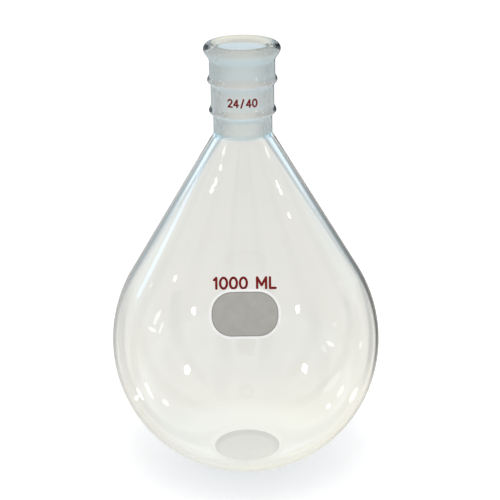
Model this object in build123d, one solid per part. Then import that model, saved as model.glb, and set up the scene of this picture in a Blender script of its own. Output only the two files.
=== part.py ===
from build123d import *
from math import acos, asin, atan2, cos, degrees, hypot, radians, sin, sqrt, tan
import os

# Pear-shaped 1000 ml heavy-wall flask with a 24/40 ground socket joint.
# Millimetres. The axis of the flask is Z, it stands on Z = 0 and its marking spot faces -Y.

# Bowl: a round lower half, a slightly slower arc above the widest point, then a straight cone.
bowl_radius = 65.5
shoulder_radius = 68.0
cone_half_angle = 30.6
bowl_wall = 2.4

# Flattened base that lets the flask stand.
base_radius = 17.6
base_thickness = 2.8
base_edge_round = 6.0
base_inner_round = 3.0

# Ground socket joint: large-end bore, ground length and a taper of 1 in 10 on diameter.
# Below it a plain bore runs on to the neck's root and bends softly into the cone.
socket_bore = 24.0
socket_length = 40.0
socket_taper = 0.1
socket_runout = 3.0
throat_bend_length = 2.0

# Outside of the neck: three plain sections that step in at each bead.
neck_top_radius = 15.3
neck_middle_radius = 14.75
neck_root_radius = 13.8

# Beads are rounded rings on the neck: height over the section above, width along the neck, and place.
bead_height = 1.0
bead_width = 5.4
upper_bead_below_mouth = 17.2
lower_bead_above_root = 11.2

# Rolled lip: half its thickness, the height of its rounded top and of the swell that carries it.
lip_half_width = 3.0
lip_top_height = 2.8
lip_swell_height = 5.4

# Enamel marking spot, fired onto the front of the cone, and its centre's distance up the cone.
spot_width = 32.6
spot_height = 22.6
spot_end_straight = 1.8
spot_thickness = 0.15
spot_up_cone = 3.2

# Heights and radii that follow from the sizes above.
bowl_centre_z = sqrt(bowl_radius**2 - base_radius**2)
shoulder_centre = (bowl_radius - shoulder_radius, bowl_centre_z)
cone_slope = tan(radians(cone_half_angle))
cone_start_radius = shoulder_centre[0] + shoulder_radius * cos(radians(cone_half_angle))
cone_start_z = bowl_centre_z + shoulder_radius * sin(radians(cone_half_angle))
neck_root_z = cone_start_z + (cone_start_radius - neck_root_radius) / cone_slope
ground_end_z = neck_root_z + socket_runout
mouth_z = ground_end_z + socket_length
lip_z = mouth_z - lip_top_height
throat_radius = (socket_bore - socket_length * socket_taper) / 2


def socket_radius(z):
    """Radius of the ground taper at a height: half the stated bore at the mouth."""
    return throat_radius + (z - ground_end_z) * socket_taper / 2


def bead_points(bead_z, below, above):
    """Foot, pull point and top of a bead's parabola, whose tip stands its height over the section above."""
    foot = (below, bead_z - bead_width / 2)
    pull = (2 * (above + bead_height) - (below + above) / 2, bead_z)
    top = (above, bead_z + bead_width / 2)
    return foot, pull, top


def inner_cone_contact(start):
    """Where the straight inner cone, drawn from the bottom of the throat, touches the inner shoulder."""
    radius = shoulder_radius - bowl_wall
    across = start[0] - shoulder_centre[0]
    up = start[1] - shoulder_centre[1]
    angle = atan2(up, across) - acos(radius / hypot(across, up))
    point = (shoulder_centre[0] + radius * cos(angle), shoulder_centre[1] + radius * sin(angle))
    return point, degrees(angle)


def bend_points(corner, before, after, length):
    """Start, corner and end of a bend that takes the same length from both straight runs at a corner."""
    ends = []
    for point in (before, after):
        share = length / hypot(point[0] - corner[0], point[1] - corner[1])
        ends.append((corner[0] + (point[0] - corner[0]) * share, corner[1] + (point[1] - corner[1]) * share))
    return ends[0], corner, ends[1]


def glass_section():
    """Half section of the whole blown and ground glass wall, as one closed outline."""
    inner_radius = bowl_radius - bowl_wall
    neck_root = (neck_root_radius, neck_root_z)
    lower_bead = bead_points(neck_root_z + lower_bead_above_root, neck_root_radius, neck_middle_radius)
    upper_bead = bead_points(mouth_z - upper_bead_below_mouth, neck_middle_radius, neck_top_radius)
    lip_foot = (neck_top_radius, lip_z - lip_swell_height)
    lip_centre = (socket_radius(lip_z) + lip_half_width, lip_z)
    ground_end = (throat_radius, ground_end_z)
    throat = (throat_radius, neck_root_z)
    cone_contact, cone_contact_angle = inner_cone_contact(throat)
    throat_bend = bend_points(throat, ground_end, cone_contact, throat_bend_length)
    base_start_angle = -degrees(asin(bowl_centre_z / bowl_radius))
    inner_drop = bowl_centre_z - base_thickness
    inner_base = (sqrt(inner_radius**2 - inner_drop**2), base_thickness)
    inner_start_angle = -degrees(asin(inner_drop / inner_radius))
    up = (0, 1)

    with BuildSketch(Plane.XZ) as section:
        with BuildLine():
            Line((0, 0), (base_radius, 0))
            CenterArc((0, bowl_centre_z), bowl_radius, base_start_angle, -base_start_angle)
            shoulder = CenterArc(shoulder_centre, shoulder_radius, 0, cone_half_angle)
            Polyline(shoulder @ 1, neck_root, lower_bead[0])
            Bezier(*lower_bead)
            Line(lower_bead[2], upper_bead[0])
            Bezier(*upper_bead)
            Line(upper_bead[2], lip_foot)
            lip = EllipticalCenterArc(
                lip_centre, lip_half_width, lip_top_height, start_angle=0, arc_size=180
            )
            Spline(lip_foot, lip @ 0, tangents=(up, up))
            Polyline(lip @ 1, ground_end, throat_bend[0])
            Bezier(*throat_bend)
            Line(throat_bend[2], cone_contact)
            CenterArc(shoulder_centre, shoulder_radius - bowl_wall, 0, cone_contact_angle)
            CenterArc((0, bowl_centre_z), inner_radius, inner_start_angle, -inner_start_angle)
            Polyline(inner_base, (0, base_thickness), (0, 0))
        make_face()

        def corner(point):
            return section.vertices().sort_by_distance((point[0], point[1], 0))[0]

        fillet(corner((base_radius, 0)), base_edge_round)
        fillet(corner(inner_base), base_inner_round)
    return section.sketch


def closed_pear(grow):
    """Solid of the bowl, shoulder and cone up to the cone's tip, grown outwards."""
    with BuildSketch(Plane.XZ) as half:
        with BuildLine():
            bowl = CenterArc((0, bowl_centre_z), bowl_radius + grow, -90, 90)
            shoulder = CenterArc(shoulder_centre, shoulder_radius + grow, 0, cone_half_angle)
            tip = (0, (shoulder @ 1).Y + (shoulder @ 1).X / cone_slope)
            Polyline(shoulder @ 1, tip, bowl @ 0)
        make_face()
    return revolve(half.sketch, Axis.Z)


def spot_pad():
    """Enamel pad that stands its thickness proud of the glass and is rooted half way into the wall."""
    slope = radians(cone_half_angle)
    radius = cone_start_radius - spot_up_cone * sin(slope)
    height = cone_start_z + spot_up_cone * cos(slope)
    face = Plane(origin=(0, -radius, height), x_dir=(1, 0, 0), z_dir=(0, -cos(slope), sin(slope)))
    outline = face * RectangleRounded(spot_width, spot_height, (spot_height - spot_end_straight) / 2)
    plug = extrude(outline, amount=spot_height, both=True)
    return (plug & closed_pear(spot_thickness)) - closed_pear(-bowl_wall / 2)


def flask():
    glass = revolve(glass_section(), Axis.Z)
    return (glass + spot_pad()).solid()


os.makedirs("parts", exist_ok=True)
export_step(flask(), "parts/flask.step")
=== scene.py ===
import bpy
import math
from mathutils import Matrix, Quaternion, Vector


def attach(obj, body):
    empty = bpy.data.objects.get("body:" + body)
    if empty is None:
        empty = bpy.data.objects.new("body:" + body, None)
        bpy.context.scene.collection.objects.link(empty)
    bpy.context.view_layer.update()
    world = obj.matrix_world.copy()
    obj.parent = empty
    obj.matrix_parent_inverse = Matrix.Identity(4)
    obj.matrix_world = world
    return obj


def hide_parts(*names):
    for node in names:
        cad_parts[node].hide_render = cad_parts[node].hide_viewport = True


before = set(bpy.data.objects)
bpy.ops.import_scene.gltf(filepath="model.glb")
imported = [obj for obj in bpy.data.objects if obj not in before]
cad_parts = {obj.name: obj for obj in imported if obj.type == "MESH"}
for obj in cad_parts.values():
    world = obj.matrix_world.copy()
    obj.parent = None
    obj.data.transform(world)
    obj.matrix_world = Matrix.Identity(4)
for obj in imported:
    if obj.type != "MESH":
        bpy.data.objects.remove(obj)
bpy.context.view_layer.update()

# The flask's axis is Z, it stands on Z = 0 and its marking spot faces -Y.
# Outlines are worked out in millimetres and scaled where a mesh is made.
MM = 0.001

# Sizes of the glass, as in the CAD source, in millimetres and degrees.
BOWL_R = 65.5
SHOULDER_R = 68.0
CONE_DEG = 30.6
WALL = 2.4
BASE_R = 17.6
BASE_T = 2.8
BASE_EDGE = 6.0
BASE_INNER = 3.0
BORE = 24.0
GROUND_LEN = 40.0
TAPER = 0.1
RUNOUT = 3.0
THROAT_ROUND = 7.0
NECK_TOP_R = 15.3
NECK_MID_R = 14.75
NECK_ROOT_R = 13.8
BEAD_H = 1.0
BEAD_W = 5.4
UPPER_BEAD_DOWN = 17.2
LOWER_BEAD_UP = 11.2
LIP_HALF = 3.0
LIP_TOP = 2.8
LIP_SWELL = 5.4

# Marking spot: its size, its place up the cone, and the white border and dark rim round its field.
SPOT_W = 32.6
SPOT_H = 22.6
SPOT_END = 1.8
SPOT_T = 0.15
SPOT_UP = 3.2
BORDER = 1.2
RIM = 0.45

# Heights and radii that follow from the sizes above.
CONE = math.radians(CONE_DEG)
ZC = math.sqrt(BOWL_R**2 - BASE_R**2)
SH_X = BOWL_R - SHOULDER_R
CONE_R = SH_X + SHOULDER_R * math.cos(CONE)
CONE_Z = ZC + SHOULDER_R * math.sin(CONE)
ROOT_Z = CONE_Z + (CONE_R - NECK_ROOT_R) / math.tan(CONE)
GROUND_Z = ROOT_Z + RUNOUT
MOUTH_Z = GROUND_Z + GROUND_LEN
LIP_Z = MOUTH_Z - LIP_TOP
THROAT_R = (BORE - GROUND_LEN * TAPER) / 2

# The mesh: points round the flask, steps across the flat foot, the tolerance that counts the ring at
# the neck's root with the neck, and how many rings of the throat are frosted below the ground length.
TURN = 192
FOOT_STEPS = 12
ROOT_TOLERANCE = 0.01
FROSTED_THROAT = 7

# How far the enamel stands over the glass, and how far it is rooted under the surface.
SPOT_UNDER = -0.1
PRINT_OVER = 0.07
PRINT_UNDER = -0.05


# Outline of the glass, as points (radius, height).

def arc(cx, cz, rx, a0, a1, n, rz=None):
    rz = rx if rz is None else rz
    return [(cx + rx * math.cos(math.radians(a0 + (a1 - a0) * i / n)),
             cz + rz * math.sin(math.radians(a0 + (a1 - a0) * i / n))) for i in range(n + 1)]


def line(p, q, n):
    return [(p[0] + (q[0] - p[0]) * i / n, p[1] + (q[1] - p[1]) * i / n) for i in range(n + 1)]


def swell(p, q, n):
    """Soft step from p to q, upright at both ends."""
    pts = []
    for i in range(n + 1):
        t = i / n
        pts.append((p[0] + (q[0] - p[0]) * (3 * t * t - 2 * t**3), p[1] + (q[1] - p[1]) * t))
    return pts


def outer_outline():
    """From the middle of the foot up the outside and over the lip to its inner end."""
    edge_x = math.sqrt((BOWL_R - BASE_EDGE)**2 - (ZC - BASE_EDGE)**2)
    edge_a = math.degrees(math.atan2(BASE_EDGE - ZC, edge_x))
    pts = line((0, 0), (edge_x, 0), FOOT_STEPS)
    pts += arc(edge_x, BASE_EDGE, BASE_EDGE, -90, edge_a, 6)[1:]
    pts += arc(0, ZC, BOWL_R, edge_a, 0, 72)[1:]
    pts += arc(SH_X, ZC, SHOULDER_R, 0, CONE_DEG, 24)[1:]
    pts += line(pts[-1], (NECK_ROOT_R, ROOT_Z), 40)[1:]
    beads = ((ROOT_Z + LOWER_BEAD_UP, NECK_ROOT_R, NECK_MID_R),
             (MOUTH_Z - UPPER_BEAD_DOWN, NECK_MID_R, NECK_TOP_R))
    for bead_z, below, above in beads:
        foot = (below, bead_z - BEAD_W / 2)
        tip = (above + BEAD_H, bead_z)
        top = (above, bead_z + BEAD_W / 2)
        pts += line(pts[-1], foot, 6)[1:]
        pts += swell(foot, tip, 9)[1:]
        pts += swell(tip, top, 9)[1:]
    foot = (NECK_TOP_R, LIP_Z - LIP_SWELL)
    lip_x = THROAT_R + (LIP_Z - GROUND_Z) * TAPER / 2 + LIP_HALF
    pts += line(pts[-1], foot, 6)[1:]
    pts += swell(foot, (lip_x + LIP_HALF, LIP_Z), 10)[1:]
    pts += arc(lip_x, LIP_Z, LIP_HALF, 0, 180, 28, LIP_TOP)[1:]
    return pts


def inner_outline(start):
    """From the inside of the lip down to the middle of the floor, and how many points are ground."""
    r = SHOULDER_R - WALL
    across, up = THROAT_R - SH_X, ROOT_Z - ZC
    touch = math.atan2(up, across) - math.acos(r / math.hypot(across, up))
    touch_p = (SH_X + r * math.cos(touch), ZC + r * math.sin(touch))
    slope = math.atan2(touch_p[0] - THROAT_R, ROOT_Z - touch_p[1])
    bend_z = ROOT_Z + THROAT_ROUND * math.tan(slope / 2)
    pts = line(start, (THROAT_R, GROUND_Z), 30)[1:]
    ground = len(pts)
    pts += line(pts[-1], (THROAT_R, bend_z), 3)[1:]
    pts += arc(THROAT_R + THROAT_ROUND, bend_z, THROAT_ROUND, 180, 180 + math.degrees(slope), 8)[1:]
    pts += line(pts[-1], touch_p, 40)[1:]
    pts += arc(SH_X, ZC, r, math.degrees(touch), 0, 24)[1:]
    ri = BOWL_R - WALL
    floor_x = math.sqrt((ri - BASE_INNER)**2 - (ZC - BASE_T - BASE_INNER)**2)
    floor_a = math.degrees(math.atan2(BASE_T + BASE_INNER - ZC, floor_x))
    pts += arc(0, ZC, ri, 0, floor_a, 72)[1:]
    pts += arc(floor_x, BASE_T + BASE_INNER, BASE_INNER, floor_a, -90, 6)[1:]
    pts += line(pts[-1], (0, BASE_T), 12)[1:]
    return pts, ground


def mesh_object(name, verts, faces, mats, face_mats=None, smooth=True):
    """Mesh from points in millimetres."""
    me = bpy.data.meshes.new(name)
    me.from_pydata([tuple(c * MM for c in v) for v in verts], [], faces)
    for m in mats:
        me.materials.append(m)
    if face_mats:
        me.polygons.foreach_set("material_index", face_mats)
    me.polygons.foreach_set("use_smooth", [smooth] * len(me.polygons))
    me.update()
    ob = bpy.data.objects.new(name, me)
    bpy.context.scene.collection.objects.link(ob)
    return ob


def lathe(name, pts, mats, ring_mats, n=TURN):
    """Closed body of revolution: the first and last point lie on the axis."""
    rings = pts[1:-1]
    verts = [(0, 0, pts[0][1])]
    for r, z in rings:
        for k in range(n):
            a = 2 * math.pi * k / n
            verts.append((r * math.cos(a), r * math.sin(a), z))
    last = len(verts)
    verts.append((0, 0, pts[-1][1]))
    faces = [(0, 1 + (k + 1) % n, 1 + k) for k in range(n)]
    face_mats = [ring_mats[0]] * n
    for i in range(len(rings) - 1):
        a, b = 1 + i * n, 1 + (i + 1) * n
        faces += [(a + k, a + (k + 1) % n, b + (k + 1) % n, b + k) for k in range(n)]
        face_mats += [ring_mats[i + 1]] * n
    a = 1 + (len(rings) - 1) * n
    faces += [(a + k, a + (k + 1) % n, last) for k in range(n)]
    face_mats += [ring_mats[-1]] * n
    return mesh_object(name, verts, faces, mats, face_mats)


# Shader nodes.

def add_node(tree, kind, values=(), **settings):
    """New node with its settings, and its inputs by name or number, as a value or as the socket to link."""
    n = tree.nodes.new("ShaderNode" + kind)
    for key, value in settings.items():
        setattr(n, key, value)
    for key, value in values:
        if isinstance(value, bpy.types.NodeSocket):
            tree.links.new(value, n.inputs[key])
        else:
            n.inputs[key].default_value = value
    return n


def add_ramp(tree, source, stops):
    """Colour of a colour ramp with the given (position, colour) stops."""
    n = add_node(tree, "ValToRGB", [("Fac", source)])
    els = n.color_ramp.elements
    for e, (pos, col) in ((els[0], stops[0]), (els[1], stops[-1])):
        e.position = pos
        e.color = col + (1,)
    for pos, col in stops[1:-1]:
        els.new(pos).color = col + (1,)
    return n.outputs["Color"]


def add_range(tree, source, low, high, **settings):
    """Value from 0 to 1 between two limits."""
    return add_node(tree, "MapRange", [("Value", source), ("From Min", low), ("From Max", high)],
                    **settings).outputs[0]


def object_place(tree):
    return add_node(tree, "TexCoord").outputs["Object"]


def add_math(tree, op, *values):
    return add_node(tree, "Math", list(enumerate(values)), operation=op).outputs[0]


def mix_color(tree, kind, fac, a, b):
    n = add_node(tree, "Mix", [("Factor", fac), ("A", a), ("B", b)], data_type="RGBA", blend_type=kind)
    return n.outputs["Result"]


def mix_shader(tree, fac, a, b):
    return add_node(tree, "MixShader", [(0, fac), (1, a), (2, b)]).outputs[0]


def new_material(name):
    m = bpy.data.materials.new(name)
    m.use_nodes = True
    return m, m.node_tree, m.node_tree.nodes["Principled BSDF"]


def srgb(r, g, b):
    """Linear colour from 0 to 255 values."""
    def linear(c):
        c /= 255.0
        return c / 12.92 if c <= 0.04045 else ((c + 0.055) / 1.055) ** 2.4
    return (linear(r), linear(g), linear(b))


# Materials.

def glass_material(name, tint, rough):
    m, tree, shader = new_material(name)
    shader.inputs["Base Color"].default_value = tint + (1,)
    shader.inputs["Roughness"].default_value = rough
    shader.inputs["IOR"].default_value = 1.474
    shader.inputs["Transmission Weight"].default_value = 1.0
    return m


# Painted reflections and refracted light in the neck's thick glass, as tints by height in millimetres: warm
# on beads and lip, cool below them.
NECK_PAINTED_LIGHT = [
    (168.0, (0.70, 0.84, 0.87)), (170.2, (0.66, 0.81, 0.85)), (172.4, (0.90, 0.955, 0.96)),
    (176.5, (0.90, 0.955, 0.965)), (178.2, (0.71, 0.80, 0.82)), (180.0, (1.0, 0.99, 0.96)),
    (182.4, (1.0, 1.0, 0.98)), (184.2, (0.92, 0.95, 0.97)), (189.5, (0.88, 0.91, 0.92)),
    (192.4, (0.73, 0.83, 0.88)), (194.3, (0.97, 0.92, 0.89)), (195.7, (0.98, 0.94, 0.92)),
    (197.3, (0.79, 0.865, 0.885)), (204.3, (0.76, 0.85, 0.87)), (206.7, (0.66, 0.745, 0.775)),
    (208.9, (0.85, 0.83, 0.78)), (210.2, (0.90, 0.89, 0.84)), (211.2, (0.86, 0.91, 0.92)),
    (213.0, (0.97, 0.97, 0.95)),
]


def neck_painted_light_material():
    m = glass_material("neck_glass_painted_light", (1, 1, 1), 0.0)
    tree = m.node_tree
    low, high = NECK_PAINTED_LIGHT[0][0], NECK_PAINTED_LIGHT[-1][0]
    up = add_node(tree, "SeparateXYZ", [(0, object_place(tree))]).outputs["Z"]
    along = add_range(tree, up, low * MM, high * MM)
    # Painted reflections: the tint of the glass changes band by band up the neck.
    painted_bands = add_ramp(tree, along, [((z - low) / (high - low), tint) for z, tint in NECK_PAINTED_LIGHT])
    tree.links.new(painted_bands, tree.nodes["Principled BSDF"].inputs["Base Color"])
    return m


def foot_material():
    """Ground foot whose grey is painted shade: darker towards its rim, with the pale middle a little to the
    front.
    """
    m = glass_material("ground_foot_painted_shade", (0.7, 0.7, 0.69), 0.3)
    tree = m.node_tree
    shifted = add_node(tree, "VectorMath", [(0, object_place(tree)), (1, (0, 0.0035, 0))], operation="ADD")
    out = add_node(tree, "VectorMath", [(0, shifted.outputs[0])], operation="LENGTH").outputs["Value"]
    # Painted shade: the grey deepens from the pale middle out to the foot's rim.
    rim = add_range(tree, out, 0.0135, 0.0165)
    painted_light_tone = add_ramp(tree, rim, [(0.0, (0.77, 0.77, 0.76)), (1.0, (0.56, 0.565, 0.55))])
    tree.links.new(painted_light_tone, tree.nodes["Principled BSDF"].inputs["Base Color"])
    return m


def enamel_material(name, low, high, rough, scale):
    """Fired enamel, with a fine mottle between two colours."""
    m, tree, shader = new_material(name)
    noise = add_node(tree, "TexNoise", [("Vector", object_place(tree)), ("Scale", scale), ("Detail", 4.0)])
    mottle = noise.outputs["Fac"]
    bump = add_node(tree, "Bump", [("Height", mottle), ("Strength", 0.15), ("Distance", 0.0001)])
    tree.links.new(add_ramp(tree, mottle, [(0.3, low), (0.7, high)]), shader.inputs["Base Color"])
    tree.links.new(bump.outputs["Normal"], shader.inputs["Normal"])
    shader.inputs["Roughness"].default_value = rough
    return m


clear_glass = glass_material("clear_glass", (0.985, 0.987, 0.984), 0.0)
ground_glass = glass_material("ground_glass", (1.0, 1.0, 1.0), 0.65)
neck_glass_painted_light = neck_painted_light_material()
ground_foot_painted_shade = foot_material()
spot_grey = enamel_material("spot_enamel", srgb(170, 167, 161), srgb(178, 175, 169), 0.55, 260.0)
spot_dark = enamel_material("spot_rim_enamel", srgb(142, 140, 134), srgb(152, 150, 144), 0.55, 260.0)
spot_white = enamel_material("spot_border", srgb(246, 246, 243), srgb(252, 252, 250), 0.5, 260.0)
print_red = enamel_material("print_enamel", srgb(112, 6, 6), srgb(132, 12, 10), 0.5, 900.0)
print_red.node_tree.nodes["Principled BSDF"].inputs["Specular IOR Level"].default_value = 0.2

# The glass body. Its materials follow the outline: ground foot, clear bowl, neck, ground socket.
CLEAR, GROUND, FOOT, NECK = range(4)
outer = outer_outline()
inner, ground_n = inner_outline(outer[-1])
outline = outer + inner
ring_mats = [CLEAR] * (len(outline) - 1)
for i in range(len(outer) - 1, len(outer) - 1 + ground_n + FROSTED_THROAT):
    ring_mats[i] = GROUND
for i in range(FOOT_STEPS):
    ring_mats[i] = FOOT
for i in range(len(outer) - 1):
    if outer[i][1] > ROOT_Z - ROOT_TOLERANCE:
        ring_mats[i] = NECK
glass = lathe("flask_glass", outline, [clear_glass, ground_glass, ground_foot_painted_shade, neck_glass_painted_light], ring_mats)
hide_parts("flask")
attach(glass, "root")


# Enamel on the outside of the glass.

def outside_radius(z, grow):
    """Outside of the bowl, cone and neck's middle section at a height, grown outwards."""
    if z > ROOT_Z:
        return NECK_MID_R + grow
    if z > CONE_Z + grow * math.sin(CONE):
        return CONE_R - (z - CONE_Z) * math.tan(CONE) + grow / math.cos(CONE)
    return SH_X + math.sqrt(max((SHOULDER_R + grow)**2 - (z - ZC)**2, 1.0))


def onto_glass(plane, x, v, grow):
    """Where a line square to a front plane, through its point (x, v), meets the grown glass."""
    origin, up, out = (Vector(part) for part in plane)
    base = origin + Vector((1, 0, 0)) * x + up * v
    lo, hi = -16.0, 8.0
    for _ in range(40):
        mid = (lo + hi) / 2
        p = base + out * mid
        if math.hypot(p.x, p.y) > outside_radius(p.z, grow):
            hi = mid
        else:
            lo = mid
    return tuple(base + out * lo)


def plane_at(z, tilt):
    """Front plane that touches the glass at a height and leans back by tilt: origin, up and out."""
    r = outside_radius(z, 0.0)
    return (0, -r, z), (0, math.sin(tilt), math.cos(tilt)), (0, -math.cos(tilt), math.sin(tilt))


def enamel_object(name, rings, plane, under, over, mat, closed_middle=True):
    """Thin closed skin on the glass from nested closed loops of equal length, outermost first."""
    n = len(rings[0])
    layer = len(rings) * n
    last = layer - n
    verts = [onto_glass(plane, x, v, grow) for grow in (over, under) for ring in rings for x, v in ring]
    faces = []
    for i in range(len(rings) - 1):
        a, b = i * n, layer + i * n
        for k in range(n):
            k2 = (k + 1) % n
            faces.append((a + k, a + k2, a + n + k2, a + n + k))
            faces.append((b + k, b + n + k, b + n + k2, b + k2))
    for k in range(n):
        k2 = (k + 1) % n
        faces.append((k, layer + k, layer + k2, k2))
    if closed_middle:
        faces.append(tuple(last + k for k in range(n)))
        faces.append(tuple(layer + last + k for k in reversed(range(n))))
    else:
        for k in range(n):
            k2 = (k + 1) % n
            faces.append((last + k, last + k2, layer + last + k2, layer + last + k))
    ob = mesh_object(name, verts, faces, [mat], smooth=False)
    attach(ob, "root")


def rounded_loop(w, h, r, per=14, between=8):
    """Closed loop of a rectangle with round corners, anticlockwise from its right side."""
    x, y = w / 2 - r, h / 2 - r
    centres = ((x, y), (-x, y), (-x, -y), (x, -y))
    corners = [arc(cx, cy, r, 90 * k, 90 * k + 90, per) for k, (cx, cy) in enumerate(centres)]
    pts = []
    for k, corner in enumerate(corners):
        pts += corner + line(corner[-1], corners[(k + 1) % 4][0], between)[1:-1]
    return pts


def inset_loop(inset):
    """Outline of the marking spot, drawn in by a width."""
    return rounded_loop(SPOT_W - 2 * inset, SPOT_H - 2 * inset, (SPOT_H - SPOT_END) / 2 - inset)


spot_plane = plane_at(CONE_Z + SPOT_UP * math.cos(CONE), CONE)
full = inset_loop(0.0)
field = inset_loop(BORDER)
middle = inset_loop(BORDER + RIM)
nested = [[(x * s, y * s) for x, y in middle] for s in (1.0, 0.9, 0.75, 0.55, 0.35, 0.15)]
enamel_object("marking_spot_border", [full, field], spot_plane, SPOT_UNDER, SPOT_T * 0.7, spot_white,
              closed_middle=False)
enamel_object("marking_spot_rim", [field, middle], spot_plane, SPOT_UNDER, SPOT_T * 0.85, spot_dark,
              closed_middle=False)
enamel_object("marking_spot", nested, spot_plane, SPOT_UNDER, SPOT_T, spot_grey)


# Plain numerals: each sign's width and its strokes, on a grid one cap height tall.

def oval(cx, cy, rx, ry, n=28, a0=90, sweep=360):
    return arc(cx, cy, rx, a0, a0 + sweep, n, ry)


GLYPHS = {
    "0": (0.66, [oval(0.33, 0.5, 0.27, 0.44)]),
    "1": (0.36, [[(0.06, 0.76), (0.24, 0.94), (0.24, 0.06)]]),
    "2": (0.62, [oval(0.3, 0.69, 0.24, 0.25, 14, 165, -190) + [(0.07, 0.06), (0.57, 0.06)]]),
    "4": (0.66, [[(0.46, 0.06), (0.46, 0.94), (0.05, 0.3), (0.62, 0.3)]]),
    "/": (0.74, [[(0.20, 0.0), (0.54, 1.0)]]),
    "m": (0.88, [[(0.09, 0.06), (0.09, 0.94), (0.44, 0.3), (0.79, 0.94), (0.79, 0.06)]]),
    "l": (0.58, [[(0.1, 0.94), (0.1, 0.06), (0.54, 0.06)]]),
    " ": (0.42, []),
}


def stroke_loops(points, w):
    """Short quads along a stroke of width w and a round end at each point, as separate convex loops."""
    loops = []
    for p, q in zip(points[:-1], points[1:]):
        d = math.hypot(q[0] - p[0], q[1] - p[1])
        if d < 1e-9:
            continue
        nx, ny = -(q[1] - p[1]) / d * w / 2, (q[0] - p[0]) / d * w / 2
        run = line(p, q, max(1, math.ceil(d / 1.2)))
        for a, b in zip(run[:-1], run[1:]):
            loops.append([(a[0] - nx, a[1] - ny), (b[0] - nx, b[1] - ny),
                          (b[0] + nx, b[1] + ny), (a[0] + nx, a[1] + ny)])
    for p in points:
        loops.append(arc(p[0], p[1], w / 2, 0, 360, 12)[:-1])
    return loops


def lettering(name, words, plane, cap, weight, spacing, mat, width):
    """Row of numerals, centred on the plane's origin, as thin closed skins in one mesh."""
    x, strokes = 0.0, []
    for ch in words:
        advance, lines = GLYPHS[ch]
        strokes += [[(x + px, py - 0.5) for px, py in pts] for pts in lines]
        x += advance + spacing
    total = x - spacing
    scale = width / total
    verts, faces = [], []
    for pts in strokes:
        run = [((px - total / 2) * scale, py * cap) for px, py in pts]
        for loop in stroke_loops(run, weight):
            n = len(loop)
            a = len(verts)
            for grow in (PRINT_OVER, PRINT_UNDER):
                verts += [onto_glass(plane, px, py, grow) for px, py in loop]
            faces.append(tuple(a + k for k in range(n)))
            faces.append(tuple(a + n + k for k in reversed(range(n))))
            faces += [(a + k, a + n + k, a + n + (k + 1) % n, a + (k + 1) % n) for k in range(n)]
    ob = mesh_object(name, verts, faces, [mat], smooth=False)
    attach(ob, "root")


lettering("joint_size", "24/40", plane_at(187.2, 0.0), 3.9, 0.74, 0.14, print_red, width=13.4)
lettering("capacity", "1000 ml", plane_at(112.6, math.radians(22)), 5.5, 1.12, 0.12, print_red, width=28.5)


def floor_material():
    """Pale paper, white to the camera. By way of the glass it glows near the foot and is open beyond."""
    m, tree, paper = new_material("floor_paper")
    paper.inputs["Base Color"].default_value = (0.62, 0.62, 0.62, 1)
    paper.inputs["Roughness"].default_value = 0.9
    paper.inputs["Specular IOR Level"].default_value = 0.0
    path = add_node(tree, "LightPath").outputs
    place = object_place(tree)

    lift = add_node(tree, "Emission", [("Color", (1, 1, 1, 1)), ("Strength", 0.57)])
    lifted = add_node(tree, "AddShader", [(0, paper.outputs[0]), (1, lift.outputs[0])])
    seen = mix_shader(tree, path["Is Camera Ray"], paper.outputs[0], lifted.outputs[0])

    # Painted light seen through the glass: the glow near the foot is paler and warmer to the right.
    right = add_node(tree, "SeparateXYZ", [(0, place)]).outputs["X"]
    across = add_range(tree, right, -0.05, 0.05)
    painted_light_tone = add_ramp(tree, across, [(0.0, (0.875, 0.885, 0.84)), (1.0, (0.96, 0.945, 0.84))])
    glow = add_node(tree, "Emission", [("Color", painted_light_tone), ("Strength", 1.0)])
    opened = add_node(tree, "BsdfTransparent")
    away = add_node(tree, "VectorMath", [(0, place)], operation="LENGTH").outputs["Value"]
    beyond = add_range(tree, away, 0.035, 0.06, interpolation_type="SMOOTHSTEP")
    through = mix_shader(tree, beyond, glow.outputs[0], opened.outputs[0])

    by_glass = add_math(tree, "MAXIMUM", path["Is Transmission Ray"], path["Is Glossy Ray"])
    surface = mix_shader(tree, by_glass, seen, through)
    tree.links.new(surface, tree.nodes["Material Output"].inputs["Surface"])
    return m


FLOOR_HALF = 4000
floor_corners = [(-FLOOR_HALF, -FLOOR_HALF, 0), (FLOOR_HALF, -FLOOR_HALF, 0),
                 (FLOOR_HALF, FLOOR_HALF, 0), (-FLOOR_HALF, FLOOR_HALF, 0)]
floor = mesh_object("floor", floor_corners, [(0, 1, 2, 3)], [floor_material()], smooth=False)
floor.location.z = -0.00005

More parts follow.
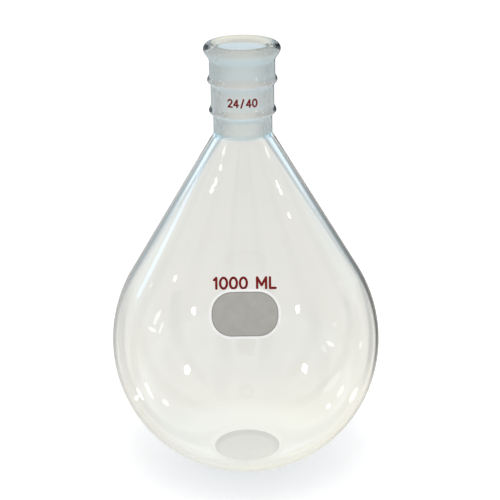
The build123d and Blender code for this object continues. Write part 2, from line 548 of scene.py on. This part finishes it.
# Surroundings. The camera sees white. Through the glass stand light and dark upright panels, and the
# glass mirrors a soft studio. Angles are degrees to the right of the line of sight.
WHITE = (1.0, 1.0, 1.0)
BLACK = (0.0, 0.0, 0.0)
LOW_PANELS = [
    (0, (1.0, 1.0, 1.0)), (5, (1.02, 1.02, 1.0)), (9, (1.09, 1.085, 1.06)), (14, (1.12, 1.11, 1.08)),
    (17, (0.22, 0.22, 0.21)), (25, (0.25, 0.25, 0.24)), (29, (1.05, 1.05, 1.03)), (58, (1.05, 1.05, 1.05)),
    (64, (0.76, 0.76, 0.74)), (72, (0.74, 0.74, 0.73)), (76, (1.06, 1.06, 1.04)), (80, (1.10, 1.10, 1.08)),
    (85, (1.03, 1.03, 1.02)), (89.9, (1.0, 1.0, 1.0)),
]
HIGH_PANELS = [
    (0, (1.0, 1.0, 1.0)), (5, (1.04, 1.04, 1.02)), (9, (1.12, 1.12, 1.09)), (13, (1.12, 1.12, 1.10)),
    (17, (0.44, 0.50, 0.53)), (26, (0.50, 0.58, 0.62)), (30, (1.05, 1.08, 1.10)), (45, (1.0, 1.0, 1.0)),
    (56, (1.15, 1.15, 1.15)), (62, (0.62, 0.70, 0.74)), (70, (0.45, 0.53, 0.57)), (74, (0.75, 0.84, 0.88)),
    (78, (1.08, 1.12, 1.14)), (84, (1.04, 1.06, 1.07)), (88, (1.0, 1.0, 1.0)), (89.9, (1.0, 1.0, 1.0)),
]
FLOOR_LIGHT = [
    (0, (1.03, 1.02, 0.99)), (10, (1.11, 1.10, 1.04)), (20, (1.08, 1.07, 1.02)), (40, (1.05, 1.05, 1.02)),
    (60, (0.92, 0.92, 0.91)), (72, (0.86, 0.865, 0.865)), (80, (0.94, 0.945, 0.95)),
    (85, (0.965, 0.97, 0.97)), (89.9, (1.025, 1.015, 0.985)),
]
SKY = [
    (0.0, (0.94, 0.915, 0.82)), (0.22, (0.90, 0.88, 0.81)), (0.335, (0.78, 0.76, 0.72)),
    (0.355, (0.76, 0.745, 0.71)), (0.375, (0.715, 0.705, 0.685)), (0.43, (0.73, 0.725, 0.705)),
    (0.49, (0.70, 0.76, 0.78)), (0.51, (0.95, 1.08, 1.14)), (0.55, (0.85, 1.0, 1.08)),
    (0.62, (0.72, 0.84, 0.92)), (0.75, (0.76, 0.88, 0.96)), (1.0, (0.84, 0.94, 1.02)),
]
MIRRORED = [
    (0.0, (1.15, 1.12, 1.02)), (0.3, (1.0, 1.0, 0.97)), (0.36, (0.88, 0.91, 0.91)),
    (0.42, (0.74, 0.80, 0.83)), (0.50, (0.70, 0.76, 0.80)), (0.56, (0.60, 0.72, 0.80)),
    (1.0, (0.80, 0.90, 1.0)),
]
SIDES = [
    (-180, 1.0), (-45, 1.0), (-36, 0.9), (-27, 0.62), (-12, 0.47), (-3, 0.47), (4, 0.18), (24, 0.18),
    (30, 0.42), (38, 0.95), (179.9, 1.0),
]


def around(stops):
    """Stops round the horizon that repeat every 90 degrees."""
    return sorted((deg % 90 / 90, col) for deg, col in stops)


def background(tree, color=(1, 1, 1, 1), strength=1.0):
    return add_node(tree, "Background", [("Color", color), ("Strength", strength)]).outputs[0]


def seen_through(tree, direction):
    """Colour by direction behind the glass: sky by height, times the panels except straight up or down."""
    angle = add_math(tree, "ARCTAN2", direction["X"], direction["Y"])
    turns = add_math(tree, "FRACT", add_math(tree, "MULTIPLY", angle, 2 / math.pi))
    height = add_math(tree, "MULTIPLY_ADD", direction["Z"], 0.5, 0.5)
    low_panels = add_ramp(tree, turns, around(LOW_PANELS))
    high_panels = add_ramp(tree, turns, around(HIGH_PANELS))
    upper = add_ramp(tree, height, [(0.0, BLACK), (0.38, BLACK), (0.435, WHITE), (1.0, WHITE)])
    panels = mix_color(tree, "MIX", upper, low_panels, high_panels)
    near_floor = add_ramp(tree, height, [(0.0, WHITE), (0.235, WHITE), (0.275, BLACK), (1.0, BLACK)])
    panels = mix_color(tree, "MIX", near_floor, panels, add_ramp(tree, turns, around(FLOOR_LIGHT)))
    upright = add_math(tree, "ABSOLUTE", direction["Z"])
    steep = add_ramp(tree, upright, [(0.0, WHITE), (0.72, WHITE), (0.9, BLACK), (1.0, BLACK)])
    return mix_color(tree, "MULTIPLY", steep, add_ramp(tree, height, SKY), panels)


def mirrored_studio(tree, direction):
    """Colour by direction that the glass mirrors: a soft studio, with dark sides behind the flask."""
    angle = add_math(tree, "ARCTAN2", direction["X"], direction["Y"])
    behind = add_math(tree, "MULTIPLY_ADD", angle, 0.5 / math.pi, 0.5)
    height = add_math(tree, "MULTIPLY_ADD", direction["Z"], 0.5, 0.5)
    sides = add_ramp(tree, behind, [(0.5 + deg / 360, (v * 0.97, v, v * 1.01)) for deg, v in SIDES])
    low_down = add_ramp(tree, height, [
        (0.0, (0.8, 0.8, 0.8)), (0.25, (0.55, 0.55, 0.55)), (0.30, BLACK), (1.0, BLACK)])
    sides = mix_color(tree, "MIX", low_down, sides, (1, 1, 1, 1))
    return mix_color(tree, "MULTIPLY", 1.0, add_ramp(tree, height, MIRRORED), sides)


def build_world():
    """A ray through glass counts as glossy too, so the transmission mix comes after the glossy one."""
    world = bpy.data.worlds.new("studio")
    world.use_nodes = True
    tree = world.node_tree
    tree.nodes.clear()
    path = add_node(tree, "LightPath").outputs
    sphere = add_node(tree, "TexCoord").outputs["Generated"]
    direction = add_node(tree, "SeparateXYZ", [(0, sphere)]).outputs
    shade = mix_shader(tree, path["Is Glossy Ray"], background(tree, strength=0.85),
                       background(tree, mirrored_studio(tree, direction)))
    shade = mix_shader(tree, path["Is Transmission Ray"], shade,
                       background(tree, seen_through(tree, direction)))
    shade = mix_shader(tree, path["Is Camera Ray"], shade, background(tree))
    add_node(tree, "OutputWorld", [("Surface", shade)])
    return world


scene = bpy.context.scene
scene.world = build_world()


def area(name, azimuth, elevation, distance, w, h, power,
         color=(1, 1, 1), aim=(0, 0, 0.08), roll=0, hidden=()):
    """Elliptical lamp. Azimuth 0 is in front of the flask, on -Y, and 90 is on +X."""
    a, e = math.radians(azimuth), math.radians(elevation)
    aim = Vector(aim)
    pos = aim + Vector((math.sin(a) * math.cos(e), -math.cos(a) * math.cos(e), math.sin(e))) * distance
    data = bpy.data.lights.new(name, "AREA")
    data.shape = "ELLIPSE"
    data.size = w
    data.size_y = h
    data.energy = power
    data.color = color
    ob = bpy.data.objects.new(name, data)
    ob.location = pos
    turned = (aim - pos).to_track_quat("-Z", "Y") @ Quaternion((0, 0, 1), math.radians(roll))
    ob.rotation_euler = turned.to_euler()
    scene.collection.objects.link(ob)
    for rays in hidden:
        setattr(ob, "visible_" + rays, False)


area("soft_left", -49, -8, 4.0, 0.29, 0.52, 5.2, aim=(0, 0, 0.04))
area("soft_right", 49, -8, 4.0, 0.29, 0.52, 5.2, aim=(0, 0, 0.04))

# Small glints on the outside of the glass: lamps 1 m from where they show, seen in reflection only.
# Name, azimuth, elevation, roll, width, height, brightness, and where on the glass they show.
GLINTS = [
    ("cone_left_a", -71.7, 33.3, 19, 0.173, 0.014, 5.0, (-0.0088, -0.0138, 0.1648)),
    ("cone_left_b", -68.0, 33.6, 18, 0.159, 0.008, 6.0, (-0.0105, -0.0176, 0.1578)),
    ("cone_left_c", -70.4, 32.3, 19, 0.138, 0.012, 8.0, (-0.0129, -0.0205, 0.1516)),
    ("cone_left_d", -74.0, 30.9, 19, 0.131, 0.011, 8.0, (-0.0146, -0.0216, 0.1483)),
    ("cone_right_a", 85.8, 28.8, -21, 0.120, 0.017, 5.0, (0.0111, -0.0131, 0.1634)),
    ("cone_right_b", 81.9, 28.7, -21, 0.122, 0.011, 8.0, (0.0156, -0.0197, 0.1500)),
    ("cone_right_c", 83.3, 27.9, -21, 0.116, 0.010, 8.0, (0.0169, -0.0206, 0.1474)),
    ("cone_right_d", 82.6, 27.1, -21, 0.094, 0.009, 6.0, (0.0208, -0.0256, 0.1366)),
    ("shoulder_left", -86.2, 22.9, 21, 0.079, 0.009, 6.0, (-0.0320, -0.0363, 0.1106)),
    ("bowl_left_a", -88.7, 14.0, -3, 0.076, 0.182, 4.0, (-0.0406, -0.0418, 0.0936)),
    ("bowl_left_b", -88.8, 5.7, -77, 0.045, 0.189, 4.0, (-0.0429, -0.0430, 0.0881)),
    ("bowl_left_c", -80.4, 11.0, -2, 0.055, 0.166, 3.0, (-0.0387, -0.0457, 0.0901)),
    ("low_left_a", -95.8, -32.2, 12, 0.079, 0.169, 4.0, (-0.0453, -0.0471, 0.0585)),
    ("low_left_b", -114.7, -35.5, 16, 0.102, 0.106, 3.5, (-0.0501, -0.0412, 0.0538)),
    ("low_left_c", -127.5, -36.9, -88, 0.025, 0.212, 3.0, (-0.0521, -0.0374, 0.0498)),
    ("low_left_d", -79.5, -37.7, 10, 0.113, 0.089, 3.0, (-0.0373, -0.0533, 0.0554)),
    ("bowl_right_a", 75.3, 0.8, 50, 0.049, 0.168, 4.0, (0.0388, -0.0491, 0.0826)),
    ("bowl_right_b", 68.4, -0.2, 30, 0.058, 0.131, 2.0, (0.0359, -0.0518, 0.0813)),
    ("bowl_right_c", 85.4, 9.3, 23, 0.032, 0.070, 3.0, (0.0411, -0.0437, 0.0898)),
    ("bowl_right_d", 112.1, -14.6, -72, 0.059, 0.066, 2.0, (0.0539, -0.0352, 0.0752)),
    ("low_right_a", 77.7, -25.7, -57, 0.116, 0.330, 1.5, (0.0397, -0.0521, 0.0640)),
    ("low_right_b", 93.0, -33.4, -27, 0.103, 0.120, 2.0, (0.0441, -0.0481, 0.0578)),
    ("low_right_c", 120.1, -37.2, -7, 0.186, 0.117, 1.5, (0.0507, -0.0398, 0.0513)),
    ("low_right_d", 85.4, -41.8, -21, 0.100, 0.061, 4.0, (0.0382, -0.0521, 0.0521)),
]
MIRROR_ONLY = ("diffuse", "transmission")
for name, azimuth, elevation, roll, w, h, bright, shows_at in GLINTS:
    power = bright * math.pi * w * h * math.pi / 4
    area("glint_" + name, azimuth, elevation, 1.0, w, h, power, aim=shows_at, roll=roll, hidden=MIRROR_ONLY)
area("window", -121.4, 9.5, 1.52, 0.20, 0.32, 0.42, color=(0.42, 0.70, 1.0), aim=(0, 0, 0.12),
     hidden=MIRROR_ONLY)
area("top", 0, 75, 1.4, 0.8, 0.8, 4.0, hidden=("glossy", "transmission"))

# Camera at the photo's angle: focal length in the photo's pixels, place, tilt down and roll in degrees.
FOCAL_PX, FRAME_PX, SENSOR_MM = 1447.0, 500.0, 36.0
CAMERA_AT = (0.0026, -0.650, 0.368)
CAMERA_DOWN, CAMERA_ROLL = 21.66, -0.70
cam_data = bpy.data.cameras.new("camera")
cam_data.lens = FOCAL_PX / FRAME_PX * SENSOR_MM
cam_data.sensor_width = SENSOR_MM
cam_data.clip_start = 0.02
cam_data.clip_end = 50.0
cam = bpy.data.objects.new("camera", cam_data)
cam.matrix_world = (Matrix.Translation(CAMERA_AT)
                    @ Matrix.Rotation(math.radians(90 - CAMERA_DOWN), 4, "X")
                    @ Matrix.Rotation(math.radians(CAMERA_ROLL), 4, "Z"))
scene.collection.objects.link(cam)
scene.camera = cam
scene.view_settings.view_transform = "Standard"
